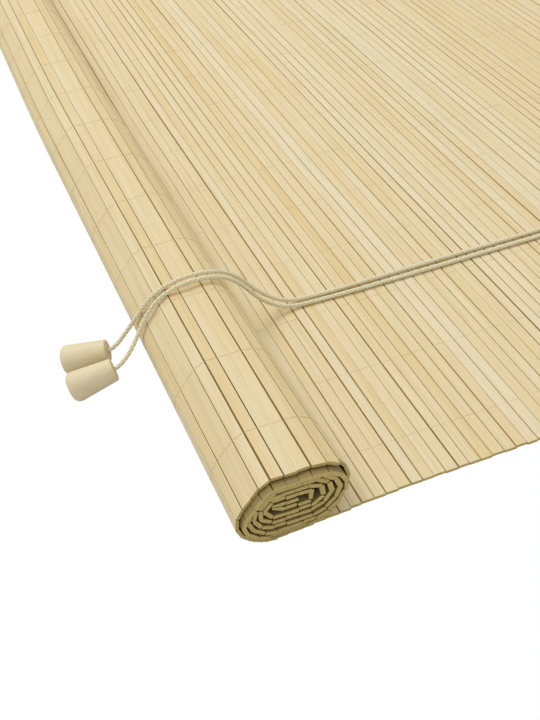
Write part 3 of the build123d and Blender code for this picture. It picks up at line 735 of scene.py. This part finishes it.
# Warp threads: at each row two fine cotton threads are twined round the slats, and cross in every slit.
THREAD_SPACING = 57.0
THREAD_ROWS = 14
THREAD_RADIUS = 0.11
THREAD_SIDES = 4
THREAD_PRESS = 0.3
THREAD_WANDER = 0.5
TWINED_SLATS = laid_count + 22
STITCH_BOW = 0.45
STITCH_SHARES = (0.0, 0.12, 0.5, 0.88)
thread, tree, shader = new_material("warp_thread_cotton")
twist = add(tree, "ShaderNodeTexWave", Vector=mapped(tree, (900, 900, 900)), Scale=1.0, Distortion=3.0)
thread_colour = ramp(tree, twist.outputs["Fac"], [(0.0, "CFC598"), (0.6, "DCD3AE"), (1.0, "E6DDBC")])
tree.links.new(thread_colour, shader.inputs["Base Color"])
shader.inputs["Roughness"].default_value = 0.8
bm = bmesh.new()
for row in range(THREAD_ROWS):
    row_y = (row - (THREAD_ROWS - 1) / 2) * THREAD_SPACING
    for strand in (0, 1):
        line = []
        for number in range(TWINED_SLATS):
            length, along, out = run_at(number)
            face = 1 if (number + strand) % 2 == 0 else -1
            height = face * (HALF_THICK + THREAD_PRESS * THREAD_RADIUS)
            if number < FLAT_SLATS and face < 0:
                height = THREAD_RADIUS - HALF_THICK
            start = slit_at(number, row_y)[0]
            stop = length + slit_at(number + 1, row_y)[0]
            y = row_y + THREAD_WANDER * noise.noise(Vector((row * 3.1, number / 6, 0.5)))
            for share in STITCH_SHARES:
                bow = STITCH_BOW * face * (1 - (2 * share - 1) ** 2)
                place = joints[number] + along * (start + (stop - start) * share) + Vector((0, y + bow, 0))
                line.append(place + out * (height if share else 0))
        rings = []
        for number, point in enumerate(line):
            way = (line[min(number + 1, len(line) - 1)] - line[max(number - 1, 0)]).normalized()
            side = Vector((0, 1, 0))
            side = (side - way * side.dot(way)).normalized()
            up = way.cross(side)
            ring = []
            for corner in range(THREAD_SIDES):
                swing = 2 * math.pi * (corner + 0.5) / THREAD_SIDES
                offset = (side * math.cos(swing) + up * math.sin(swing)) * THREAD_RADIUS
                ring.append(bm.verts.new(leaned(point + offset) * MM))
            rings.append(ring)
        skin(bm, rings)
threads = piece("warp_threads", bm, thread, smooth=True)
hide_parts(*[f"warp_thread_{n + 1:02d}" for n in range(THREAD_ROWS)])

# Tassels: turned from pale wood and left raw. The grain runs along them and the lathe left fine rings, so
# each wood follows its own tassel's heading and lean, in degrees.
for which, heading, lean in (("near", 176.6, -12.2), ("far", 163.2, -9.5)):
    wood, tree, shader = new_material(f"turned_wood_{which}")
    coordinates = add(tree, "ShaderNodeTexCoord")
    turned = add(
        tree,
        "ShaderNodeMapping",
        {"vector_type": "TEXTURE"},
        Vector=coordinates.outputs["Object"],
        Rotation=(0, -math.radians(lean), math.radians(heading)),
    )
    grain_map = add(tree, "ShaderNodeMapping", Vector=turned.outputs["Vector"], Scale=(130, 1500, 1500))
    grain = add(tree, "ShaderNodeTexNoise", Vector=grain_map.outputs["Vector"], Scale=1.0, Detail=4.0)
    grain_colour = ramp(tree, grain.outputs["Fac"], [(0.3, "E2D3AE"), (0.5, "E6D8B4"), (0.7, "EADDBC")])
    tree.links.new(grain_colour, shader.inputs["Base Color"])
    shader.inputs["Roughness"].default_value = 0.6
    rings = add(
        tree, "ShaderNodeTexWave", {"bands_direction": "X"}, Vector=turned.outputs["Vector"], Scale=900.0
    )
    ring_bump = add(tree, "ShaderNodeBump", Height=rings.outputs["Fac"], Strength=0.1, Distance=0.04 * MM)
    tree.links.new(ring_bump.outputs["Normal"], shader.inputs["Normal"])
    nodes[f"tassel_{which}"].data.materials[0] = wood

# Head rail and clamp strip: clear-lacquered softwood that holds the upper edge of the mat between them.
wood, tree, shader = new_material("lacquered_softwood")
grain = add(
    tree, "ShaderNodeTexNoise", Vector=mapped(tree, (220, 5, 220)), Scale=1.0, Detail=5.0, Distortion=0.6
)
grain_colour = ramp(tree, grain.outputs["Fac"], [(0.32, "B98F55"), (0.5, "D3B07A"), (0.7, "DFC392")])
tree.links.new(grain_colour, shader.inputs["Base Color"])
shader.inputs["Roughness"].default_value = 0.38
shader.inputs["Coat Weight"].default_value = 0.25
shader.inputs["Coat Roughness"].default_value = 0.3
grain_bump = add(tree, "ShaderNodeBump", Height=grain.outputs["Fac"], Strength=0.2, Distance=0.1 * MM)
tree.links.new(grain_bump.outputs["Normal"], shader.inputs["Normal"])
for name in ("head_rail", "clamp_strip"):
    nodes[name].data.materials[0] = wood

# Hanger plates, cord lock and cord guide: stamped sheet steel with a bright zinc coat and faint crystals.
zinc, tree, shader = new_material("zinc_coated_steel")
crystals = add(tree, "ShaderNodeTexVoronoi", Vector=mapped(tree, (420, 420, 420)), Scale=1.0)
zinc_colour = ramp(tree, crystals.outputs["Distance"], [(0.0, "B9BDC1"), (1.0, "CDD0D2")])
tree.links.new(zinc_colour, shader.inputs["Base Color"])
scuffs = add(tree, "ShaderNodeTexNoise", Vector=mapped(tree, (900, 900, 900)), Scale=1.0, Detail=3.0)
zinc_gloss = add(tree, "ShaderNodeMapRange", Value=scuffs.outputs["Fac"], i3=0.28, i4=0.46)
tree.links.new(zinc_gloss.outputs["Result"], shader.inputs["Roughness"])
shader.inputs["Metallic"].default_value = 1.0
for name in ("hanger_plate_near", "hanger_plate_far", "lock_frame", "guide_frame"):
    nodes[name].data.materials[0] = zinc

# Screws and pins: turned steel, plated, with faint marks round the axis.
steel, tree, shader = new_material("plated_screw_steel")
marks = add(tree, "ShaderNodeTexNoise", Vector=mapped(tree, (2500, 2500, 400)), Scale=1.0, Detail=3.0)
steel_colour = ramp(tree, marks.outputs["Fac"], [(0.3, "9EA2A5"), (0.7, "C9CCCE")])
tree.links.new(steel_colour, shader.inputs["Base Color"])
shader.inputs["Metallic"].default_value = 1.0
shader.inputs["Roughness"].default_value = 0.32
screws = [f"{held}_screws" for held in ("clamp", "hanger", "lock", "guide")]
for name in (*screws, "lock_wheel_pin", "guide_wheel_pin"):
    nodes[name].data.materials[0] = steel

# Grooved wheels: moulded off-white nylon with faint clouding.
nylon, tree, shader = new_material("moulded_nylon")
cloud = add(tree, "ShaderNodeTexNoise", Vector=mapped(tree, (500, 500, 500)), Scale=1.0, Detail=2.0)
nylon_colour = ramp(tree, cloud.outputs["Fac"], [(0.3, "DEDACC"), (0.7, "ECE9DE")])
tree.links.new(nylon_colour, shader.inputs["Base Color"])
shader.inputs["Roughness"].default_value = 0.45
shader.inputs["Subsurface Weight"].default_value = 0.1
shader.inputs["Subsurface Scale"].default_value = 1 * MM
for name in ("lock_wheel", "guide_wheel"):
    nodes[name].data.materials[0] = nylon

# Lock roller: knurled brass with lighter and darker stains.
brass, tree, shader = new_material("knurled_brass")
stain = add(tree, "ShaderNodeTexNoise", Vector=mapped(tree, (1500, 600, 1500)), Scale=1.0, Detail=3.0)
brass_colour = ramp(tree, stain.outputs["Fac"], [(0.3, "A8863F"), (0.7, "D2B263")])
tree.links.new(brass_colour, shader.inputs["Base Color"])
shader.inputs["Metallic"].default_value = 1.0
shader.inputs["Roughness"].default_value = 0.3
nodes["lock_roller"].data.materials[0] = brass

# Studio: a pale floor that looks white to the camera, a surround that is darker towards the floor, and one
# large soft light from above, behind and to the left, which leaves the roll's near end in soft shade.
bm = bmesh.new()
bmesh.ops.create_grid(bm, x_segments=2, y_segments=2, size=6.0)
floor_mesh = bpy.data.meshes.new("studio_floor")
bm.to_mesh(floor_mesh)
bm.free()
floor = bpy.data.objects.new("studio_floor", floor_mesh)
bpy.context.scene.collection.objects.link(floor)
paper, tree, shader = new_material("white_paper_floor")
shader.inputs["Base Color"].default_value = linear("D8D6D0")
shader.inputs["Roughness"].default_value = 0.9
sight = add(tree, "ShaderNodeLightPath")
white = add(tree, "ShaderNodeEmission", Color=(1, 1, 1, 1), Strength=1.0)
blend = add(
    tree,
    "ShaderNodeMixShader",
    Fac=sight.outputs["Is Camera Ray"],
    i1=shader.outputs["BSDF"],
    i2=white.outputs[0],
)
tree.links.new(blend.outputs[0], tree.nodes["Material Output"].inputs["Surface"])
floor_mesh.materials.append(paper)

world = bpy.data.worlds.new("studio")
world.use_nodes = True
tree = world.node_tree
tree.nodes.clear()
sight = add(tree, "ShaderNodeLightPath")
view = add(tree, "ShaderNodeTexCoord")
view_height = add(tree, "ShaderNodeSeparateXYZ", Vector=view.outputs["Generated"]).outputs["Z"]
brightness = add(tree, "ShaderNodeMapRange", Value=view_height, i1=0.0, i2=1.0, i3=0.42, i4=0.85)
surround = add(
    tree, "ShaderNodeBackground", Color=linear("FFFDF8"), Strength=brightness.outputs["Result"]
)
backdrop = add(tree, "ShaderNodeBackground", Color=(1, 1, 1, 1), Strength=1.0)
sky = add(
    tree,
    "ShaderNodeMixShader",
    Fac=sight.outputs["Is Camera Ray"],
    i1=surround.outputs[0],
    i2=backdrop.outputs[0],
)
add(tree, "ShaderNodeOutputWorld", Surface=sky.outputs[0])
bpy.context.scene.world = world

key_data = bpy.data.lights.new("key_light", "AREA")
key_data.shape = "DISK"
key_data.size = 1.6
key_data.energy = 36
key = bpy.data.objects.new("key_light", key_data)
key.location = (-1.3, 1.15, 2.7)
key.rotation_euler = (Vector((-0.35, -0.2, 0)) - key.location).to_track_quat("-Z", "Y").to_euler()
bpy.context.scene.collection.objects.link(key)

bpy.context.scene.view_settings.view_transform = "Standard"
